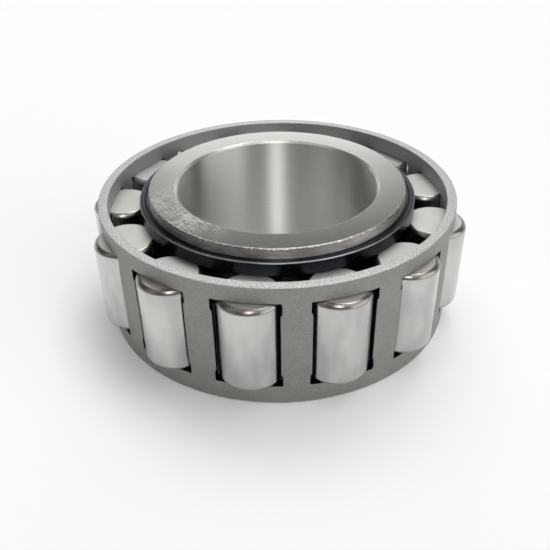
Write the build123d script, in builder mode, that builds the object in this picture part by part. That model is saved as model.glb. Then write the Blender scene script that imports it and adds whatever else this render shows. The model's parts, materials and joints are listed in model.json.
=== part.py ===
from build123d import *
import math
import os

os.makedirs("parts", exist_ok=True)

# A cylindrical roller bearing without an outer ring: an inner ring with two ribs, thirteen
# cylindrical rollers, and a one-piece window cage that keeps the rollers apart.
# Millimetres. Origin: centre of the bore, halfway across the ring. +Z runs along the bore's axis.

# Driving dimensions
BORE_DIA = 30.0
RING_WIDTH = 20.0
RACEWAY_DIA = 38.5
ROLLER_DIA = 9.0
ROLLER_LENGTH = 13.3
ROLLER_COUNT = 13
FIRST_ROLLER_DEG = -99.0
CAGE_OUTER_DIA = 53.2
CAGE_WALL = 1.4
CAGE_HEIGHT = 19.1

# Running clearances
ROLLER_TO_RACEWAY = 0.02
ROLLER_TO_RIB = 0.05
ROLLER_TO_POCKET = 0.08
CAGE_TO_FLOOR = 0.05

# Inner ring
BORE_CHAMFER = 0.35
COLLAR_DIA = 38.4
COLLAR_ROUND = 0.25
RIB_DIA = 41.2
RIB_FACE_DEPTH = 1.3
RIB_ROUND = 0.15
GROOVE_DEPTH = 1.55
GROOVE_WIDTH = 0.5
GROOVE_SLOPE = 0.2
UNDERCUT_DEPTH = 0.3
UNDERCUT_WIDTH = 0.45

# Rollers
ROLLER_ROUND = 0.7

# Cage
POCKET_WIDTH = 8.7
POCKET_HEIGHT = 13.6
POCKET_BELOW_RIM = 2.45
RELIEF_DEPTH = 0.22
RELIEF_HEIGHT = 1.8
RELIEF_ROUND = 0.2
RIM_ROUND_TOP = 0.12
RIM_ROUND_BOTTOM = 0.3
RIM_ROUND_INNER = 0.12

# Worked out from the above
half_width = RING_WIDTH / 2
raceway_radius = RACEWAY_DIA / 2
roller_radius = ROLLER_DIA / 2
pitch_radius = raceway_radius + roller_radius + ROLLER_TO_RACEWAY
rib_inner_z = ROLLER_LENGTH / 2 + ROLLER_TO_RIB
cage_outer_radius = CAGE_OUTER_DIA / 2
cage_inner_radius = cage_outer_radius - CAGE_WALL
cage_bottom_z = CAGE_TO_FLOOR - half_width
cage_top_z = cage_bottom_z + CAGE_HEIGHT
pocket_middle_z = cage_top_z - POCKET_BELOW_RIM - POCKET_HEIGHT / 2
roller_angles = [FIRST_ROLLER_DEG + i * 360 / ROLLER_COUNT for i in range(ROLLER_COUNT)]


def outward_plane(angle_deg, z):
    """Plane through the bearing's axis at height z, facing outwards at angle_deg."""
    a = math.radians(angle_deg)
    return Plane(
        origin=(0, 0, z),
        x_dir=(-math.sin(a), math.cos(a), 0),
        z_dir=(math.cos(a), math.sin(a), 0),
    )


def roller_plane(angle_deg, z):
    """Level plane at height z, centred on the roller's own axis."""
    a = math.radians(angle_deg)
    return Plane(
        origin=(pitch_radius * math.cos(a), pitch_radius * math.sin(a), z),
        x_dir=(math.cos(a), math.sin(a), 0),
        z_dir=(0, 0, 1),
    )


def corners_at(sketch, radius, height):
    """The two corners of the ring's outline at this radius, above and below the middle."""
    return [
        v
        for v in sketch.vertices()
        if abs(v.X - radius) < 1e-4 and abs(abs(v.Y) - height) < 1e-4
    ]


# Inner ring: bore, end faces, narrow collar, groove, rib, undercut and raceway, turned in one piece.
bore_radius = BORE_DIA / 2
collar_radius = COLLAR_DIA / 2
rib_radius = RIB_DIA / 2
groove_z = half_width - GROOVE_DEPTH
rib_face_z = half_width - RIB_FACE_DEPTH
undercut_radius = raceway_radius - UNDERCUT_DEPTH
upper_outline = [
    (bore_radius, half_width - BORE_CHAMFER),
    (bore_radius + BORE_CHAMFER, half_width),
    (collar_radius, half_width),
    (collar_radius, groove_z),
    (collar_radius + GROOVE_WIDTH, groove_z),
    (collar_radius + GROOVE_WIDTH + GROOVE_SLOPE, rib_face_z),
    (rib_radius, rib_face_z),
    (rib_radius, rib_inner_z),
    (raceway_radius + UNDERCUT_DEPTH, rib_inner_z),
    (undercut_radius, rib_inner_z - UNDERCUT_DEPTH),
    (undercut_radius, rib_inner_z - UNDERCUT_DEPTH - UNDERCUT_WIDTH),
    (raceway_radius, rib_inner_z - 2 * UNDERCUT_DEPTH - UNDERCUT_WIDTH),
]
lower_outline = [(r, -z) for r, z in reversed(upper_outline)]

with BuildPart() as inner_ring:
    with BuildSketch(Plane.XZ) as ring_section:
        with BuildLine():
            Polyline(*upper_outline, *lower_outline, close=True)
        make_face()
        fillet(corners_at(ring_section, collar_radius, half_width), COLLAR_ROUND)
        fillet(corners_at(ring_section, rib_radius, rib_face_z), RIB_ROUND)
        fillet(corners_at(ring_section, rib_radius, rib_inner_z), RIB_ROUND)
    revolve(axis=Axis.Z)
inner_ring.part.label = "inner_ring"
export_step(inner_ring.part, "parts/inner_ring.step")

# Cage: a thin steel band with a straight-sided window for each roller. The windows are a little
# narrower than the rollers and lie outside their pitch circle, so no roller can drop out.
with BuildPart() as cage:
    with BuildSketch(Plane.XY.offset(cage_bottom_z)):
        Circle(cage_outer_radius)
        Circle(cage_inner_radius, mode=Mode.SUBTRACT)
    extrude(amount=CAGE_HEIGHT)
    rim_edges = cage.edges().filter_by(GeomType.CIRCLE)
    outer_rims = rim_edges.filter_by(lambda e: e.radius > cage_outer_radius - CAGE_WALL / 2)
    inner_rims = rim_edges.filter_by(lambda e: e.radius < cage_outer_radius - CAGE_WALL / 2)
    fillet(outer_rims.sort_by(Axis.Z)[-1], RIM_ROUND_TOP)
    fillet(outer_rims.sort_by(Axis.Z)[0], RIM_ROUND_BOTTOM)
    fillet(inner_rims, RIM_ROUND_INNER)
    for angle in roller_angles:
        with BuildSketch(outward_plane(angle, pocket_middle_z)):
            Rectangle(POCKET_WIDTH, POCKET_HEIGHT)
            # the punch leaves a shallow relief in both sides, at the top and the bottom
            with GridLocations(0, POCKET_HEIGHT - RELIEF_HEIGHT, 1, 2):
                RectangleRounded(POCKET_WIDTH + 2 * RELIEF_DEPTH, RELIEF_HEIGHT, RELIEF_ROUND)
        extrude(amount=cage_outer_radius + 1, mode=Mode.SUBTRACT)
        # the inner edges of the bars are coined to the roller's curve, to guide it
        with BuildSketch(roller_plane(angle, pocket_middle_z - POCKET_HEIGHT / 2)):
            Circle(roller_radius + ROLLER_TO_POCKET)
        extrude(amount=POCKET_HEIGHT, mode=Mode.SUBTRACT)
cage.part.label = "cage"
export_step(cage.part, "parts/cage.step")

# Rollers: plain cylinders with rounded ends, standing proud of the cage to run on the housing's bore.
for number, angle in enumerate(roller_angles, start=1):
    name = f"roller_{number:02d}"
    with BuildPart() as roller:
        with BuildSketch(roller_plane(angle, -ROLLER_LENGTH / 2)):
            Circle(roller_radius)
        extrude(amount=ROLLER_LENGTH)
        fillet(roller.edges().filter_by(GeomType.CIRCLE), ROLLER_ROUND)
    roller.part.label = name
    export_step(roller.part, f"parts/{name}.step")
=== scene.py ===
import bmesh
import bpy
import json
import math
import random
from mathutils import Matrix, Vector, noise


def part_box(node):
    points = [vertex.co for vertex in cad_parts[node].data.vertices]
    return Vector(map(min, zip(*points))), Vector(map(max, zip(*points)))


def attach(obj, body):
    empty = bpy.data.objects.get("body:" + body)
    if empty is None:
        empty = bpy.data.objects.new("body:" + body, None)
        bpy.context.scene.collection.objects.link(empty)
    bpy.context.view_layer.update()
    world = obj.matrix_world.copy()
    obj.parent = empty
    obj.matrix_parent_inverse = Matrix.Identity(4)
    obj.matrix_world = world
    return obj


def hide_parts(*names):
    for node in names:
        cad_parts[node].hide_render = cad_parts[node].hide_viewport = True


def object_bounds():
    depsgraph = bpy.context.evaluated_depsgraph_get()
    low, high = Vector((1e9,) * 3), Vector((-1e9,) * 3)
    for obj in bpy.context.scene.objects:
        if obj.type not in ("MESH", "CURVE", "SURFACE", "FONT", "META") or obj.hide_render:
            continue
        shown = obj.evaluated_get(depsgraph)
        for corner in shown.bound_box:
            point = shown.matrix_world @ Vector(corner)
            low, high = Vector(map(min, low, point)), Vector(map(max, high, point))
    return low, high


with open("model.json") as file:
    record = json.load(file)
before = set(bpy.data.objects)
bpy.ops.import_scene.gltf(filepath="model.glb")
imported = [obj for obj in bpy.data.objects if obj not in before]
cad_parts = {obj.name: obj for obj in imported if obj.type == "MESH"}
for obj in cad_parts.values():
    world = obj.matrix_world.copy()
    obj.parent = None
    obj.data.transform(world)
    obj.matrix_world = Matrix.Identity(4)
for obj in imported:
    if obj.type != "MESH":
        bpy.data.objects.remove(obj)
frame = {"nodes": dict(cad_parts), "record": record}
cad_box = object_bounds()
MM = 0.001
TURN = 2 * math.pi

# ---------------------------------------------------------------- sizes

# From the frame
ring_low, ring_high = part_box("inner_ring")
cage_low, cage_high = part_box("cage")
ROLLERS = sorted(node for node in frame["nodes"] if node.startswith("roller_"))
mounts = {mount["name"]: mount for mount in frame["record"]["mounts"]}
BORE_RADIUS = mounts["bore"]["dims"]["r_mm"] * MM
RIB_RADIUS = ring_high.x
RING_TOP = ring_high.z
CAGE_RADIUS = cage_high.x
CAGE_TOP = cage_high.z
CAGE_BOTTOM = cage_low.z

# Details that a box doesn't give, as the parts were designed
BORE_CHAMFER = 0.35 * MM
COLLAR_RADIUS = 19.2 * MM
COLLAR_ROUND = 0.25 * MM
GROOVE_DEPTH = 1.55 * MM
GROOVE_WIDTH = 0.5 * MM
GROOVE_SLOPE = 0.2 * MM
RIB_FACE_DEPTH = 1.3 * MM
RIB_ROUND = 0.15 * MM
RIB_INNER_Z = 6.7 * MM
RACEWAY_RADIUS = 19.25 * MM
UNDERCUT_DEPTH = 0.3 * MM
UNDERCUT_WIDTH = 0.45 * MM
ROLLER_ROUND = 0.7 * MM
CAGE_WALL = 1.4 * MM
POCKET_HALF_WIDTH = 4.35 * MM
POCKET_HALF_HEIGHT = 6.8 * MM
POCKET_BELOW_RIM = 2.45 * MM
COINED_HALF_WIDTH = 4.46 * MM
RELIEF_DEPTH = 0.22 * MM
RELIEF_HEIGHT = 1.8 * MM
RELIEF_ROUND = 0.2 * MM
RIM_ROUND = 0.12 * MM
RIM_ROUND_BOTTOM = 0.3 * MM

# Fineness of the meshes, and the seeds of what is random
RING_STEPS = 288
ROLLER_STEPS = 96
ROLLER_CORNER_STEPS = 8
ROUND_STEPS = 4
WELD = 0.002 * MM
ROLLER_SEED = 9
CAGE_SEED = 31

# ---------------------------------------------------------------- node helpers


class Nodes:
    """Adds and joins shader nodes in one tree."""

    def __init__(self, tree):
        self.tree = tree

    def add(self, kind, **settings):
        node = self.tree.nodes.new(kind)
        for name, value in settings.items():
            setattr(node, name, value)
        return node

    def link(self, source, target):
        self.tree.links.new(source, target)

    def feed(self, socket, value):
        """Joins a socket to a socket, or sets a plain value on it."""
        if isinstance(value, bpy.types.NodeSocket):
            self.link(value, socket)
        else:
            socket.default_value = value

    def math(self, operation, a, b=0.0):
        node = self.add("ShaderNodeMath", operation=operation)
        self.feed(node.inputs[0], a)
        self.feed(node.inputs[1], b)
        return node.outputs[0]

    def ramp(self, value, low, high, out_low=0.0, out_high=1.0):
        """A smooth step from out_low to out_high as value goes from low to high."""
        node = self.add("ShaderNodeMapRange", interpolation_type="SMOOTHSTEP")
        self.feed(node.inputs["Value"], value)
        node.inputs["From Min"].default_value = low
        node.inputs["From Max"].default_value = high
        node.inputs["To Min"].default_value = out_low
        node.inputs["To Max"].default_value = out_high
        return node.outputs["Result"]

    def noise(self, place, scale, detail=2.0, roughness=0.5):
        """Noise with about scale grains to one unit of place, which is a metre unless stretched."""
        node = self.add("ShaderNodeTexNoise")
        self.feed(node.inputs["Vector"], place)
        node.inputs["Scale"].default_value = scale
        node.inputs["Detail"].default_value = detail
        node.inputs["Roughness"].default_value = roughness
        return node.outputs["Fac"]

    def mix(self, factor, a, b):
        node = self.add("ShaderNodeMix", data_type="RGBA")
        self.feed(node.inputs["Factor"], factor)
        self.feed(node.inputs["A"], (*a, 1.0) if isinstance(a, tuple) else a)
        self.feed(node.inputs["B"], (*b, 1.0) if isinstance(b, tuple) else b)
        return node.outputs["Result"]

    def stretched(self, place, angle, grain):
        """Place turned about Z and divided by the grain's size along each new axis."""
        node = self.add("ShaderNodeMapping", vector_type="TEXTURE")
        self.feed(node.inputs["Vector"], place)
        node.inputs["Rotation"].default_value = (0.0, 0.0, angle)
        node.inputs["Scale"].default_value = grain
        return node.outputs["Vector"]

    def lathe_marks(self, place, along, across, detail=2.0):
        """Noise stretched round the Z axis, as a cutting tool or a grinding wheel leaves it: about
        along grains to a radian and across grains to a metre."""
        x, y, z = self.add_fed("ShaderNodeSeparateXYZ", place).outputs
        flat = self.add("ShaderNodeCombineXYZ")
        self.feed(flat.inputs["X"], x)
        self.feed(flat.inputs["Y"], y)
        length = self.add_fed("ShaderNodeVectorMath", flat.outputs[0], operation="LENGTH")
        around = self.add_fed("ShaderNodeVectorMath", flat.outputs[0], operation="NORMALIZE")
        ux, uy, _ = self.add_fed("ShaderNodeSeparateXYZ", around.outputs[0]).outputs
        seed = self.add("ShaderNodeCombineXYZ")
        self.feed(seed.inputs["X"], self.math("MULTIPLY", ux, along))
        self.feed(seed.inputs["Y"], self.math("MULTIPLY", uy, along))
        self.feed(seed.inputs["Z"], self.math("MULTIPLY", length.outputs["Value"], across))
        node = self.add("ShaderNodeTexNoise", noise_dimensions="4D")
        self.feed(node.inputs["Vector"], seed.outputs[0])
        self.feed(node.inputs["W"], self.math("MULTIPLY", z, across))
        node.inputs["Scale"].default_value = 1.0
        node.inputs["Detail"].default_value = detail
        return node.outputs["Fac"]

    def add_fed(self, kind, value, **settings):
        node = self.add(kind, **settings)
        self.feed(node.inputs[0], value)
        return node

    def scratches(self, place, turn, spacing):
        """Thin wavering lines at an angle about Z, broken into pieces a few millimetres long."""
        waver = 8 * MM
        piece = 2.5 * MM
        deep = 5 * MM
        wave = self.add("ShaderNodeTexWave", bands_direction="Y")
        self.feed(wave.inputs["Vector"], self.stretched(place, turn, (waver, spacing, waver)))
        # the node draws 20 / TURN waves to one unit, so this scale makes it one wave
        wave.inputs["Scale"].default_value = TURN / 20
        wave.inputs["Distortion"].default_value = 5.0
        wave.inputs["Detail"].default_value = 1.0
        lines = self.ramp(wave.outputs["Fac"], 0.76, 1.0)
        breaks = self.noise(self.stretched(place, turn, (piece, spacing, deep)), 1.0, 0.0)
        return self.math("MULTIPLY", lines, self.ramp(breaks, 0.36, 0.58))

    def smear_along_axis(self, shader, amount):
        """Smears reflections along Z, as the fine rings of a ground or turned wall do."""
        shader.inputs["Anisotropic"].default_value = amount
        shader.inputs["Anisotropic Rotation"].default_value = 0.25
        tangent = self.add("ShaderNodeTangent", direction_type="RADIAL", axis="Z")
        self.link(tangent.outputs[0], shader.inputs["Tangent"])

    def bump(self, height, distance):
        node = self.add("ShaderNodeBump")
        self.feed(node.inputs["Height"], height)
        node.inputs["Distance"].default_value = distance
        return node.outputs["Normal"]


def new_steel(name):
    """A bare metal material: the material, its Nodes, its shader and the object's own coordinates."""
    material = bpy.data.materials.new(name)
    material.use_nodes = True
    nodes = Nodes(material.node_tree)
    shader = material.node_tree.nodes["Principled BSDF"]
    shader.inputs["Metallic"].default_value = 1.0
    place = nodes.add("ShaderNodeTexCoord").outputs["Object"]
    return material, nodes, shader, place


# ---------------------------------------------------------------- materials of the rollers


def roller_barrel():
    """Superfinished barrel: satin, with faint blotches."""
    material, n, shader, place = new_steel("roller_barrel")
    blotches = n.noise(n.stretched(place, 0.0, (3 * MM, 3 * MM, 7 * MM)), 1.0)
    base = n.mix(n.ramp(blotches, 0.3, 0.7), (0.45, 0.45, 0.44), (0.58, 0.58, 0.565))
    n.feed(shader.inputs["Base Color"], base)
    n.feed(shader.inputs["Roughness"], n.ramp(blotches, 0.3, 0.7, 0.24, 0.16))
    return material


def roller_corner():
    """Tumbled corner: shinier and a little brown, with small nicks."""
    material, n, shader, place = new_steel("roller_corner")
    nicks = n.noise(place, 2600.0, 2.0)
    blotches = n.noise(place, 500.0, 2.0)
    n.feed(shader.inputs["Base Color"], n.mix(blotches, (0.26, 0.244, 0.225), (0.37, 0.35, 0.327)))
    shader.inputs["Roughness"].default_value = 0.27
    n.feed(shader.inputs["Normal"], n.bump(nicks, 0.008 * MM))
    return material


def roller_end():
    """Ground end face, with fine rings round its centre."""
    material, n, shader, place = new_steel("roller_end")
    marks = n.lathe_marks(place, 1.5, 5000.0)
    blotches = n.noise(place, 400.0, 2.0)
    n.feed(shader.inputs["Base Color"], n.mix(marks, (0.50, 0.495, 0.48), (0.60, 0.595, 0.58)))
    n.feed(shader.inputs["Roughness"], n.ramp(blotches, 0.3, 0.7, 0.54, 0.64))
    return material


# ---------------------------------------------------------------- materials of the cage


def cage_side():
    """Tumbled sheet: dull, with a fine grain."""
    material, n, shader, place = new_steel("cage_side")
    grain = n.noise(place, 5000.0, 3.0, 0.6)
    blotches = n.noise(place, 300.0, 2.0)
    tone = n.math("ADD", n.math("MULTIPLY", grain, 0.8), n.math("MULTIPLY", blotches, 0.2))
    base = n.mix(n.ramp(tone, 0.3, 0.7), (0.24, 0.237, 0.224), (0.36, 0.357, 0.34))
    n.feed(shader.inputs["Base Color"], base)
    n.feed(shader.inputs["Roughness"], n.ramp(tone, 0.3, 0.7, 0.50, 0.60))
    n.feed(shader.inputs["Normal"], n.bump(grain, 0.04 * MM))
    return material


def cage_inside():
    """Inside of the band: rougher, and never rubbed by anything."""
    material, n, shader, place = new_steel("cage_inside")
    grain = n.noise(place, 3500.0, 3.0, 0.6)
    n.feed(shader.inputs["Base Color"], n.mix(grain, (0.42, 0.425, 0.42), (0.58, 0.585, 0.575)))
    n.feed(shader.inputs["Roughness"], n.ramp(grain, 0.3, 0.7, 0.62, 0.74))
    return material


def cage_rim():
    """Sawn and tumbled rim: coarse bright grains."""
    material, n, shader, place = new_steel("cage_rim")
    grain = n.noise(place, 4600.0, 3.0, 0.6)
    base = n.mix(n.ramp(grain, 0.35, 0.65), (0.31, 0.31, 0.30), (0.58, 0.58, 0.565))
    n.feed(shader.inputs["Base Color"], base)
    n.feed(shader.inputs["Roughness"], n.ramp(grain, 0.35, 0.65, 0.50, 0.36))
    n.feed(shader.inputs["Normal"], n.bump(grain, 0.08 * MM))
    return material


def cage_cut_painted_shade():
    """Sheared wall of a window: painted shade, nearly black like the shaded gaps beside the rollers, and
    streaked through the sheet.
    """
    material, n, shader, place = new_steel("cage_cut_painted_shade")
    streaks = n.noise(n.stretched(place, 0.0, (1.6 * MM, 1.6 * MM, 0.3 * MM)), 1.0)
    # painted shade: the wall's colour is nearly black so the window gaps look shaded
    n.feed(shader.inputs["Base Color"], n.mix(streaks, (0.035, 0.035, 0.04), (0.09, 0.09, 0.09)))
    shader.inputs["Roughness"].default_value = 0.35
    return material


# ---------------------------------------------------------------- materials of the inner ring


# Sets of parallel scratches, each a turn about Z and a spacing, and the patch where they are dense
SCRATCH_SETS = ((0.85, 0.36 * MM), (-0.35, 0.32 * MM), (-1.05, 0.42 * MM))
WORN_PLACE = (-13.8 * MM, -9.4 * MM, RING_TOP)
WORN_FULLY = 2.0 * MM
WORN_END = 12.0 * MM


def ring_face():
    """Ground end face, with crossing scratches in one worn patch."""
    material, n, shader, place = new_steel("ring_face")
    blotches = n.noise(place, 170.0, 3.0)
    hatch = 0.0
    for turn, spacing in SCRATCH_SETS:
        hatch = n.math("MAXIMUM", n.scratches(place, turn, spacing), hatch)
    away = n.add_fed("ShaderNodeVectorMath", place, operation="DISTANCE")
    away.inputs[1].default_value = WORN_PLACE
    patch = n.ramp(away.outputs["Value"], WORN_FULLY, WORN_END, 0.90, 0.0)
    uneven = n.math("MULTIPLY", patch, n.ramp(blotches, 0.35, 0.6, 0.5, 1.0))
    scratches = n.math("MULTIPLY", hatch, uneven)
    base = n.mix(blotches, (0.265, 0.272, 0.253), (0.325, 0.33, 0.306))
    n.feed(shader.inputs["Base Color"], n.mix(scratches, base, (0.70, 0.71, 0.64)))
    n.feed(shader.inputs["Roughness"], n.ramp(scratches, 0.0, 1.0, 0.21, 0.50))
    return material


def ring_bore():
    """Ground bore: its fine rings smear reflections up and down."""
    material, n, shader, place = new_steel("ring_bore")
    marks = n.lathe_marks(place, 4.0, 6000.0)
    n.feed(shader.inputs["Base Color"], n.mix(marks, (0.66, 0.66, 0.63), (0.75, 0.75, 0.71)))
    shader.inputs["Roughness"].default_value = 0.45
    n.smear_along_axis(shader, 1.0)
    return material


def ring_collar():
    """Collar wall: turned, hardened to a brown tint."""
    material, n, shader, place = new_steel("ring_collar")
    marks = n.lathe_marks(place, 9.0, 2600.0)
    blotches = n.noise(place, 260.0, 2.0)
    tone = n.math("ADD", n.math("MULTIPLY", marks, 0.5), n.math("MULTIPLY", blotches, 0.5))
    base = n.mix(n.ramp(tone, 0.3, 0.7), (0.38, 0.355, 0.335), (0.72, 0.69, 0.655))
    n.feed(shader.inputs["Base Color"], base)
    shader.inputs["Roughness"].default_value = 0.50
    n.smear_along_axis(shader, 0.8)
    return material


def ring_nicked():
    """Rounded edge of the collar: brown, with bright nicks."""
    material, n, shader, place = new_steel("ring_nicked")
    nicks = n.ramp(n.noise(place, 3200.0, 2.0), 0.50, 0.68)
    n.feed(shader.inputs["Base Color"], n.mix(nicks, (0.28, 0.265, 0.25), (0.70, 0.68, 0.645)))
    n.feed(shader.inputs["Roughness"], n.ramp(nicks, 0.0, 1.0, 0.30, 0.45))
    return material


def ring_edge():
    """Chamfers and broken edges: bright, with tiny nicks."""
    material, n, shader, place = new_steel("ring_edge")
    nicks = n.noise(place, 3000.0, 2.0)
    n.feed(shader.inputs["Base Color"], n.mix(nicks, (0.50, 0.50, 0.46), (0.85, 0.85, 0.79)))
    shader.inputs["Roughness"].default_value = 0.30
    n.feed(shader.inputs["Normal"], n.bump(nicks, 0.03 * MM))
    return material


def ring_rib_edge():
    """The rib's outer edge: lighter than the nearly black faces beside it, with a blue tint."""
    material, n, shader, place = new_steel("ring_rib_edge")
    rubbed = n.noise(place, 700.0, 2.0)
    n.feed(shader.inputs["Base Color"], n.mix(rubbed, (0.12, 0.13, 0.14), (0.34, 0.35, 0.36)))
    shader.inputs["Roughness"].default_value = 0.28
    return material


def ring_dark():
    """The groove, the rib's top face and outer wall, and the undercut: nearly black, with faint lathe
    marks.
    """
    material, n, shader, place = new_steel("ring_dark")
    marks = n.lathe_marks(place, 5.0, 2600.0, 3.0)
    n.feed(shader.inputs["Base Color"], n.mix(marks, (0.022, 0.025, 0.032), (0.050, 0.054, 0.062)))
    n.feed(shader.inputs["Roughness"], n.ramp(marks, 0.3, 0.7, 0.20, 0.30))
    return material


# ---------------------------------------------------------------- meshes


def finish_piece(piece, body, replaced):
    """Shading that keeps wide faces true between their rounded edges, then the frame's own calls."""
    bpy.context.scene.collection.objects.link(piece)
    normals = piece.modifiers.new("true_faces", "WEIGHTED_NORMAL")
    normals.weight = 100
    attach(piece, body)
    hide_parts(replaced)


def mesh_from(bm, name, materials):
    bmesh.ops.recalc_face_normals(bm, faces=bm.faces)
    mesh = bpy.data.meshes.new(name)
    bm.to_mesh(mesh)
    bm.free()
    mesh.shade_smooth()
    for material in materials:
        mesh.materials.append(material)
    return mesh


def rounded(corners):
    """A closed outline with its corners rounded. A corner is (radius, z, rounding, surface of its
    rounding, surface after it)."""
    outline = []
    for i, (r, z, rounding, round_surface, surface) in enumerate(corners):
        corner = Vector((r, z))
        if rounding == 0.0:
            outline.append((r, z, surface))
            continue
        before = (Vector(corners[i - 1][:2]) - corner).normalized()
        after = (Vector(corners[(i + 1) % len(corners)][:2]) - corner).normalized()
        half_angle = before.angle(after) / 2
        centre = corner + (before + after).normalized() * rounding / math.sin(half_angle)
        start = corner + before * rounding / math.tan(half_angle) - centre
        end = corner + after * rounding / math.tan(half_angle) - centre
        start_angle = math.atan2(start.y, start.x)
        sweep = (math.atan2(end.y, end.x) - start_angle + math.pi) % TURN - math.pi
        for step in range(ROUND_STEPS + 1):
            a = start_angle + sweep * step / ROUND_STEPS
            x, y = centre.x + rounding * math.cos(a), centre.y + rounding * math.sin(a)
            outline.append((x, y, surface if step == ROUND_STEPS else round_surface))
    return outline


def turned(name, outline, steps, surfaces, closed):
    """Turns an outline of (radius, z, surface of the band after it) round the Z axis."""
    bm = bmesh.new()
    rings = []
    for r, z, _ in outline:
        if r == 0.0:
            rings.append([bm.verts.new((0.0, 0.0, z))] * steps)
        else:
            angles = [TURN * k / steps for k in range(steps)]
            rings.append([bm.verts.new((r * math.cos(a), r * math.sin(a), z)) for a in angles])
    names = list(surfaces)
    for i in range(len(rings) if closed else len(rings) - 1):
        one, other = rings[i], rings[(i + 1) % len(rings)]
        for k in range(steps):
            after = (k + 1) % steps
            corners = dict.fromkeys((one[k], one[after], other[after], other[k]))
            face = bm.faces.new(list(corners))
            face.material_index = names.index(outline[i][2])
    return mesh_from(bm, name, surfaces.values())


def add_inner_ring():
    undercut_radius = RACEWAY_RADIUS - UNDERCUT_DEPTH
    undercut_z = RIB_INNER_Z - UNDERCUT_DEPTH
    groove_z = RING_TOP - GROOVE_DEPTH
    rib_z = RING_TOP - RIB_FACE_DEPTH
    broken = 0.06 * MM
    # from the chamfer of the bore, over the end face and down the outside to the raceway
    upper = [
        (BORE_RADIUS, RING_TOP - BORE_CHAMFER, broken, "edge", "edge"),
        (BORE_RADIUS + BORE_CHAMFER, RING_TOP, broken, "edge", "face"),
        (COLLAR_RADIUS, RING_TOP, COLLAR_ROUND, "nicked", "collar"),
        (COLLAR_RADIUS, groove_z, broken, "dark", "dark"),
        (COLLAR_RADIUS + GROOVE_WIDTH, groove_z, 0.0, "dark", "dark"),
        (COLLAR_RADIUS + GROOVE_WIDTH + GROOVE_SLOPE, rib_z, broken, "dark", "dark"),
        (RIB_RADIUS, rib_z, RIB_ROUND, "rib_edge", "dark"),
        (RIB_RADIUS, RIB_INNER_Z, RIB_ROUND, "dark", "face"),
        (RACEWAY_RADIUS + UNDERCUT_DEPTH, RIB_INNER_Z, 0.0, "dark", "dark"),
        (undercut_radius, undercut_z, 0.0, "dark", "dark"),
        (undercut_radius, undercut_z - UNDERCUT_WIDTH, 0.0, "dark", "dark"),
        (RACEWAY_RADIUS, undercut_z - UNDERCUT_WIDTH - UNDERCUT_DEPTH, 0.0, "dark", "face"),
    ]
    after_lower = [corner[4] for corner in reversed(upper)][1:] + ["bore"]
    lower = [(r, -z, rounding, own, s) for (r, z, rounding, own, _), s in zip(reversed(upper), after_lower)]
    surfaces = {
        "face": ring_face(),
        "bore": ring_bore(),
        "collar": ring_collar(),
        "nicked": ring_nicked(),
        "edge": ring_edge(),
        "rib_edge": ring_rib_edge(),
        "dark": ring_dark(),
    }
    mesh = turned("ring_turned", rounded(upper + lower), RING_STEPS, surfaces, closed=True)
    ring = bpy.data.objects.new("ring_turned", mesh)
    finish_piece(ring, "inner_ring", "inner_ring")


def add_rollers():
    surfaces = {"barrel": roller_barrel(), "corner": roller_corner(), "end": roller_end()}
    low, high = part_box(ROLLERS[0])
    radius = (high.x - low.x) / 2
    half_length = (high.z - low.z) / 2
    # the corner's arc stops short of the barrel's slope, so grinding leaves an edge between them
    steepest = math.radians(72)
    reach, drop = math.sin(steepest), 1 - math.cos(steepest)
    corner = [
        (
            radius - ROLLER_ROUND * (1 - math.sin(a) / reach),
            half_length - ROLLER_ROUND * (1 - math.cos(a)) / drop,
            "corner",
        )
        for a in (steepest * k / ROLLER_CORNER_STEPS for k in range(ROLLER_CORNER_STEPS + 1))
    ]
    end = [(radius * share, half_length, "end") for share in (0.0, 0.35, 0.7)]
    upper = end + corner[:-1] + [corner[-1][:2] + ("barrel",), (radius, half_length / 3, "barrel")]
    after_lower = [point[2] for point in reversed(upper)][1:] + ["end"]
    lower = [(r, -z, s) for (r, z, _), s in zip(reversed(upper), after_lower)]
    mesh = turned("roller_ground", upper + lower, ROLLER_STEPS, surfaces, closed=False)
    rand = random.Random(ROLLER_SEED)
    for node in ROLLERS:
        low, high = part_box(node)
        roller = bpy.data.objects.new(node + "_ground", mesh)
        roller.location = (low + high) / 2
        roller.rotation_euler.z = rand.uniform(0.0, TURN)
        finish_piece(roller, node, node)


def window_quarter():
    """A quarter of a window's edge, from the middle of its side to the middle of its top, as (x, z),
    and the index of the point on it that faces the sector's corner."""
    relief_z = POCKET_HALF_HEIGHT - RELIEF_HEIGHT
    wide = POCKET_HALF_WIDTH + RELIEF_DEPTH
    side = [(POCKET_HALF_WIDTH, relief_z * share) for share in (0.0, 0.25, 0.5, 0.75, 0.9)]
    step = [
        (POCKET_HALF_WIDTH + 0.01 * MM, relief_z - 0.10 * MM),
        (POCKET_HALF_WIDTH + 0.06 * MM, relief_z - 0.01 * MM),
        (wide - 0.06 * MM, relief_z + 0.05 * MM),
        (wide - 0.01 * MM, relief_z + 0.16 * MM),
    ]
    straight = [(wide, relief_z + RELIEF_HEIGHT * share) for share in (0.25, 0.4, 0.55, 0.7)]
    arc = [
        (
            wide - RELIEF_ROUND * (1 - math.cos(a)),
            POCKET_HALF_HEIGHT - RELIEF_ROUND * (1 - math.sin(a)),
        )
        for a in (math.pi / 2 * k / 6 for k in range(7))
    ]
    top = [((wide - RELIEF_ROUND) * share, POCKET_HALF_HEIGHT) for share in (0.9, 0.75, 0.5, 0.25, 0.0)]
    corner = len(side) + len(step) + len(straight) + 3
    return side + step + straight + arc + top, corner


def all_round(quarter):
    """A quarter outline mirrored to all four quarters, once round, from the middle of the right side."""
    points = list(quarter)
    points += [(-x, z) for x, z in reversed(quarter[:-1])]
    points += [(-x, -z) for x, z in quarter[1:]]
    points += [(x, -z) for x, z in reversed(quarter[1:-1])]
    return points


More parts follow.
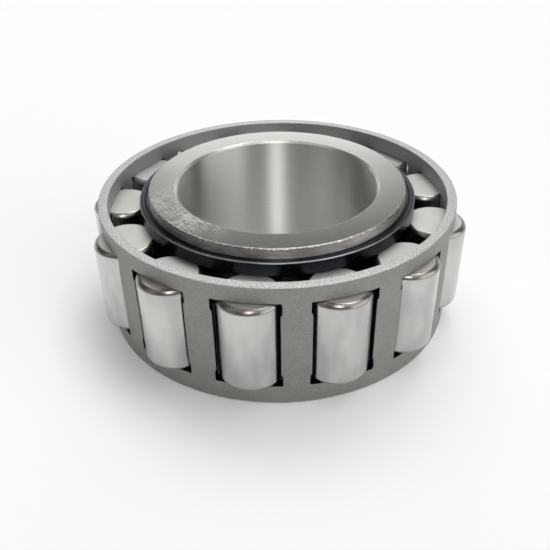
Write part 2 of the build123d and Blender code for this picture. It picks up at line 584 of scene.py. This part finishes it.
class CageSector:
    """One window and half of the bar on each side of it, in local (x, depth, z) coordinates."""

    # how far the sheet's face is sunk beside the window: (distance from the window, depth)
    EDGE_ROLL = [(0.0, 0.07 * MM), (0.03 * MM, 0.025 * MM), (0.09 * MM, 0.0)]
    # loops of vertices, as shares of the way over the face to the border and through the wall
    LOOPS = (0.25, 0.6, 1.0)
    THROUGH = (0.08, 0.4, 0.73)
    # how far the reliefs tear and the other edges waver, and waves to a metre
    TEAR = 0.07 * MM
    WAVER = 0.012 * MM
    TEAR_SCALE = 2600.0
    # height at a window's top and bottom that isn't coined
    UNCOINED = 0.3 * MM

    def __init__(self, bm, angle, rand):
        self.bm = bm
        self.angle = angle
        self.rand = rand
        self.middle_z = CAGE_TOP - POCKET_BELOW_RIM - POCKET_HALF_HEIGHT
        quarter, self.corner = window_quarter()
        self.outline = self.torn(all_round(quarter))
        self.count = len(self.outline)
        self.away = self.directions()
        self.shares = self.border_shares(quarter)

    def torn(self, outline):
        """The reliefs' edges tear a little where the punch leaves the sheet, each in its own way."""
        seed = Vector((self.rand.uniform(0, 99), self.rand.uniform(0, 99), 0.0))
        points = []
        for x, z in outline:
            in_relief = abs(x) > POCKET_HALF_WIDTH + 0.03 * MM
            reach = self.TEAR if in_relief else self.WAVER
            shift = noise.noise_vector(seed + Vector((x, z, 0.0)) * self.TEAR_SCALE) * reach
            points.append((x + shift.x, z + shift.y))
        return points

    def directions(self):
        """The direction away from the window at each point of its edge."""
        out = []
        for i in range(self.count):
            before = Vector(self.outline[i - 2])
            after = Vector(self.outline[(i + 2) % self.count])
            along = (after - before).normalized()
            out.append(Vector((along.y, -along.x)))
        return out

    def border_shares(self, quarter):
        """Where each edge point's partner lies on the sector's border, as shares of its half sizes."""
        corner_x, corner_z = quarter[self.corner]
        shares = []
        for i, (x, z) in enumerate(quarter):
            on_side = i <= self.corner
            shares.append((1.0 if on_side else x / corner_x, z / corner_z if on_side else 1.0))
        return all_round(shares)

    def border(self, radius, top_z, bottom_z):
        half_width = radius * math.sin(math.pi / len(ROLLERS))
        points = []
        for share_x, share_z in self.shares:
            reach = top_z - self.middle_z if share_z > 0 else self.middle_z - bottom_z
            points.append((half_width * share_x, reach * share_z))
        return points

    def vert(self, x, z, radius):
        """A vertex at local x and z on the tube of that radius."""
        depth = math.sqrt(radius * radius - x * x)
        return self.place(x, depth, z)

    def place(self, x, depth, z):
        """A vertex at local x to the side and depth out from the bearing's axis."""
        c, s = math.cos(self.angle), math.sin(self.angle)
        return self.bm.verts.new((depth * c - x * s, depth * s + x * c, self.middle_z + z))

    def surface(self, radius, sign, top_z, bottom_z):
        """Loops of vertices over one face of the sheet, from the window's edge to the border. The
        sign is 1 on the outside and -1 on the inside."""
        border = self.border(radius, top_z, bottom_z)
        loops = []
        for distance, sunk in self.EDGE_ROLL:
            r = radius - sign * sunk
            points = [Vector(p) + d * distance for p, d in zip(self.outline, self.away)]
            loops.append([self.vert(p.x, p.y, r) for p in points])
        start = self.EDGE_ROLL[-1][0]
        for share in self.LOOPS:
            points = [
                (Vector(p) + d * start).lerp(Vector(b), share)
                for p, d, b in zip(self.outline, self.away, border)
            ]
            loops.append([self.vert(p.x, p.y, radius) for p in points])
        return loops

    def wall(self, share):
        """Vertices on the window's wall, that share of the way from the outside in."""
        sunk = self.EDGE_ROLL[0][1]
        outer, inner = CAGE_RADIUS - sunk, CAGE_RADIUS - CAGE_WALL + sunk
        loop = []
        for x, z in self.outline:
            depth_out = math.sqrt(outer * outer - x * x)
            depth_in = math.sqrt(inner * inner - x * x)
            loop.append(self.place(x, depth_out + (depth_in - depth_out) * share, z))
        return loop

    def strip(self, one, other, surface, closed=True):
        """Faces between two rows of vertices."""
        for i in range(len(one) if closed else len(one) - 1):
            j = (i + 1) % len(one)
            face = self.bm.faces.new((one[i], one[j], other[j], other[i]))
            face.material_index = surface

    def coin(self, loop):
        """Widens the window's inner edge beside the roller to the roller's curve."""
        c, s = math.cos(self.angle), math.sin(self.angle)
        for vert, (x, z) in zip(loop, self.outline):
            short = COINED_HALF_WIDTH - abs(x)
            if short > 0 and abs(z) < POCKET_HALF_HEIGHT - self.UNCOINED:
                vert.co.x -= math.copysign(short, x) * s
                vert.co.y += math.copysign(short, x) * c

    def build(self):
        side, rim, cut, within = 0, 1, 2, 3
        inner_radius = CAGE_RADIUS - CAGE_WALL
        outside = self.surface(CAGE_RADIUS, 1, CAGE_TOP - RIM_ROUND, CAGE_BOTTOM + RIM_ROUND_BOTTOM)
        inside = self.surface(inner_radius, -1, CAGE_TOP - RIM_ROUND, CAGE_BOTTOM + RIM_ROUND)
        self.coin(inside[0])
        for loops, surface in ((outside, side), (inside, within)):
            for one, other in zip(loops, loops[1:]):
                self.strip(one, other, surface)
        walls = [outside[0]] + [self.wall(share) for share in self.THROUGH] + [inside[0]]
        for one, other in zip(walls, walls[1:]):
            self.strip(one, other, cut)
        half = self.count // 2
        top = slice(self.corner, half - self.corner + 1)
        bottom = slice(half + self.corner, self.count - self.corner + 1)
        self.rim(outside[-1][top], inside[-1][top], CAGE_TOP, RIM_ROUND, rim)
        self.rim(outside[-1][bottom], inside[-1][bottom], CAGE_BOTTOM, RIM_ROUND_BOTTOM, rim)

    def rim(self, outer_row, inner_row, z, outer_round, surface):
        """The rounded edges and the flat between the two faces' border rows."""
        up = 1 if z > 0 else -1
        profile = []
        for k in range(1, ROUND_STEPS + 1):
            a = math.pi / 2 * k / ROUND_STEPS
            r = CAGE_RADIUS - outer_round * (1 - math.cos(a))
            profile.append((r, z - up * outer_round * (1 - math.sin(a))))
        profile.append((CAGE_RADIUS - CAGE_WALL / 2, z))
        for k in range(ROUND_STEPS):
            a = math.pi / 2 * (1 - k / ROUND_STEPS)
            r = CAGE_RADIUS - CAGE_WALL + RIM_ROUND * (1 - math.cos(a))
            profile.append((r, z - up * RIM_ROUND * (1 - math.sin(a))))
        rows = [outer_row]
        for r, row_z in profile:
            row = []
            for vert in outer_row:
                scale = r / math.hypot(vert.co.x, vert.co.y)
                row.append(self.bm.verts.new((vert.co.x * scale, vert.co.y * scale, row_z)))
            rows.append(row)
        rows.append(inner_row)
        for one, other in zip(rows, rows[1:]):
            self.strip(one, other, surface, closed=False)


def add_cage():
    rand = random.Random(CAGE_SEED)
    bm = bmesh.new()
    for node in ROLLERS:
        low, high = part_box(node)
        middle = (low + high) / 2
        CageSector(bm, math.atan2(middle.y, middle.x), rand).build()
    bmesh.ops.remove_doubles(bm, verts=bm.verts, dist=WELD)
    mesh = mesh_from(bm, "cage_pressed", [cage_side(), cage_rim(), cage_cut_painted_shade(), cage_inside()])
    cage = bpy.data.objects.new("cage_pressed", mesh)
    finish_piece(cage, "cage", "cage")


# ---------------------------------------------------------------- floor, light and camera


FLOOR_HALF = 1.5


def add_floor():
    z = cad_box[0][2]
    corners = [(FLOOR_HALF * x, FLOOR_HALF * y, z) for x, y in ((-1, -1), (1, -1), (1, 1), (-1, 1))]
    mesh = bpy.data.meshes.new("floor")
    mesh.from_pydata(corners, [], [(0, 1, 2, 3)])
    floor = bpy.data.objects.new("floor", mesh)
    bpy.context.scene.collection.objects.link(floor)
    material = bpy.data.materials.new("floor_paper")
    material.use_nodes = True
    shader = material.node_tree.nodes["Principled BSDF"]
    shader.inputs["Base Color"].default_value = (0.93, 0.93, 0.925, 1)
    shader.inputs["Roughness"].default_value = 0.9
    shader.inputs["Specular IOR Level"].default_value = 0.1
    mesh.materials.append(material)


# Soft light panels round the bearing, as in a light tent with gaps: (middle azimuth, half its width,
# lowest and highest elevation, softness of its edges, all in degrees, and radiance). Azimuth is from
# +X towards +Y, so -90 is the camera's side and 90 is behind the bearing.
SKY_BASE = 0.10
SKY_PANELS = [
    (-90, 9, 28, 68, 4, 6.2),       # strip over the camera
    (-36, 34, 36, 58, 12, 0.8),     # right of the camera
    (-24, 30, -2, 22, 8, 1.9),      # window on the right
    (-24, 26, 22, 44, 8, 0.9),      # its upper half, behind a blind
    (35, 60, 58, 80, 8, 3.4),       # skylight on the right
    (92, 40, 42, 66, 8, 2.6),       # high panel behind
    (-160, 30, 50, 70, 12, 0.7),    # high on the left
    (-150, 16, 18, 32, 8, 0.7),     # low on the left
    (84, 54, 18, 28, 5, 1.0),       # bright wall behind
    (90, 11, 14, 25, 5, 1.8),       # its brightest part
    (95, 60, -10, 9, 6, 1.4),       # far edge of the table
]
BACKDROP = 1.0


def add_sky():
    world = bpy.data.worlds.new("light_tent")
    bpy.context.scene.world = world
    world.use_nodes = True
    n = Nodes(world.node_tree)
    direction = n.add("ShaderNodeTexCoord").outputs["Generated"]
    x, y, z = n.add_fed("ShaderNodeSeparateXYZ", direction).outputs
    elevation = n.math("DEGREES", n.math("ARCSINE", z))
    azimuth = n.math("DEGREES", n.math("ARCTAN2", y, x))
    total = SKY_BASE
    for middle, half_width, low, high, soft, radiance in SKY_PANELS:
        aside = n.math("PINGPONG", n.math("SUBTRACT", azimuth, middle), 180.0)
        across = n.ramp(aside, half_width - soft / 2, half_width + soft / 2, radiance, 0.0)
        above = n.ramp(elevation, low - soft / 2, low + soft / 2)
        below = n.ramp(elevation, high - soft / 2, high + soft / 2, 1.0, 0.0)
        panel = n.math("MULTIPLY", across, n.math("MULTIPLY", above, below))
        total = n.math("ADD", panel, total)
    # seen directly, the tent is one plain backdrop
    seen = n.add("ShaderNodeLightPath").outputs["Is Camera Ray"]
    shown = n.math("ADD", total, n.math("MULTIPLY", seen, n.math("SUBTRACT", BACKDROP, total)))
    background = world.node_tree.nodes["Background"]
    background.inputs["Color"].default_value = (1.0, 1.0, 1.0, 1.0)
    n.link(shown, background.inputs["Strength"])


# Camera: where it stands and where it looks, fitted to the ring, rim and window outlines.
CAMERA_PLACE = Vector((0.0, -94.05, 57.11)) * MM
CAMERA_PITCH = math.radians(34.31)
CAMERA_YAW = math.radians(-0.33)
CAMERA_ROLL = math.radians(-1.05)
CAMERA_LENS = 45.34


def add_camera():
    data = bpy.data.cameras.new("camera")
    data.lens = CAMERA_LENS
    data.sensor_width = 36.0
    data.clip_start = 0.005
    camera = bpy.data.objects.new("camera", data)
    bpy.context.scene.collection.objects.link(camera)
    forward = Vector((
        math.sin(CAMERA_YAW) * math.cos(CAMERA_PITCH),
        math.cos(CAMERA_YAW) * math.cos(CAMERA_PITCH),
        -math.sin(CAMERA_PITCH),
    ))
    level = Vector((math.cos(CAMERA_YAW), -math.sin(CAMERA_YAW), 0.0))
    upright = level.cross(forward)
    right = level * math.cos(CAMERA_ROLL) + upright * math.sin(CAMERA_ROLL)
    up = upright * math.cos(CAMERA_ROLL) - level * math.sin(CAMERA_ROLL)
    turn = Matrix((right, up, -forward)).transposed().to_4x4()
    camera.matrix_world = Matrix.Translation(CAMERA_PLACE) @ turn
    bpy.context.scene.camera = camera


add_inner_ring()
add_cage()
add_rollers()
add_floor()
add_sky()
add_camera()
bpy.context.scene.view_settings.view_transform = "Standard"
